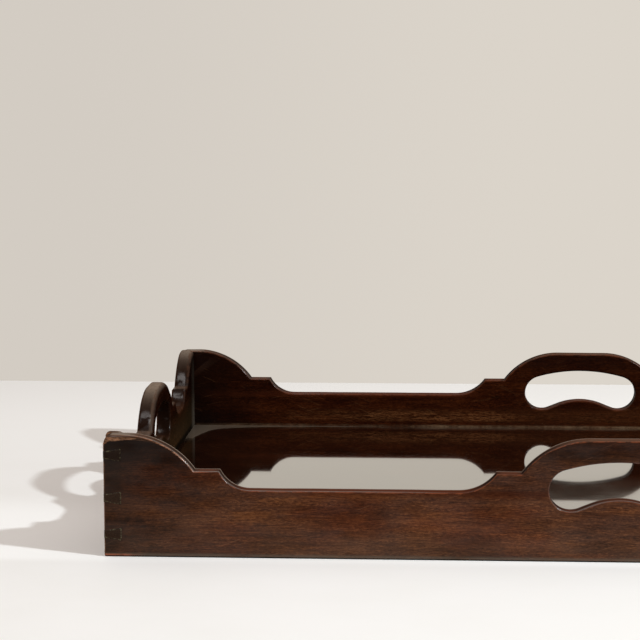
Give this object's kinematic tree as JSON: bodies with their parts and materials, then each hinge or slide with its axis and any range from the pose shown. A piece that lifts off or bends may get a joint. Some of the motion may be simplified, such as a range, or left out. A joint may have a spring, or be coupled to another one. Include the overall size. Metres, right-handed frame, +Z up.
{
  "type": "wooden tray",
  "caption": "Oblong mahogany carrying tray with a shaped gallery, dovetailed at the corners, with kidney-shaped hand holes in its sides and a recessed base board.",
  "frame": {"origin": "on the surface that the tray stands on, under the centre of the tray", "axes": "+X along the long sides, from the left end to the right; +Y from the front board to the back board; +Z up out of the tray"},
  "size_m": [0.74, 0.445, 0.0902],
  "materials": {
    "long_boards": "worn wax polish over mahogany",
    "end_boards": "darkened wax polish over mahogany",
    "polished_floor": "French polished mahogany, glossy",
    "bare_wood": "unpolished mahogany, planed",
    "iron": "darkened wrought iron"
  },
  "bodies": {
    "root": {"front_board": "long_boards", "back_board": "long_boards", "left_end_board": "end_boards", "right_end_board": "end_boards", "base_board": "polished_floor", "front_fillet": "bare_wood", "back_fillet": "bare_wood", "left_fillet": "bare_wood", "right_fillet": "bare_wood", "left_bearer": "bare_wood", "left_bearer_screw_1": "iron", "left_bearer_screw_2": "iron", "left_bearer_screw_3": "iron", "left_bearer_screw_4": "iron", "right_bearer": "bare_wood", "right_bearer_screw_1": "iron", "right_bearer_screw_2": "iron", "right_bearer_screw_3": "iron", "right_bearer_screw_4": "iron", "base_brad_01": "iron", "base_brad_02": "iron", "base_brad_03": "iron", "base_brad_04": "iron", "base_brad_05": "iron", "base_brad_06": "iron", "base_brad_07": "iron", "base_brad_08": "iron", "base_brad_09": "iron", "base_brad_10": "iron", "base_brad_11": "iron", "base_brad_12": "iron", "base_brad_13": "iron", "base_brad_14": "iron", "base_brad_15": "iron", "base_brad_16": "iron"}
  },
  "joints": []
}
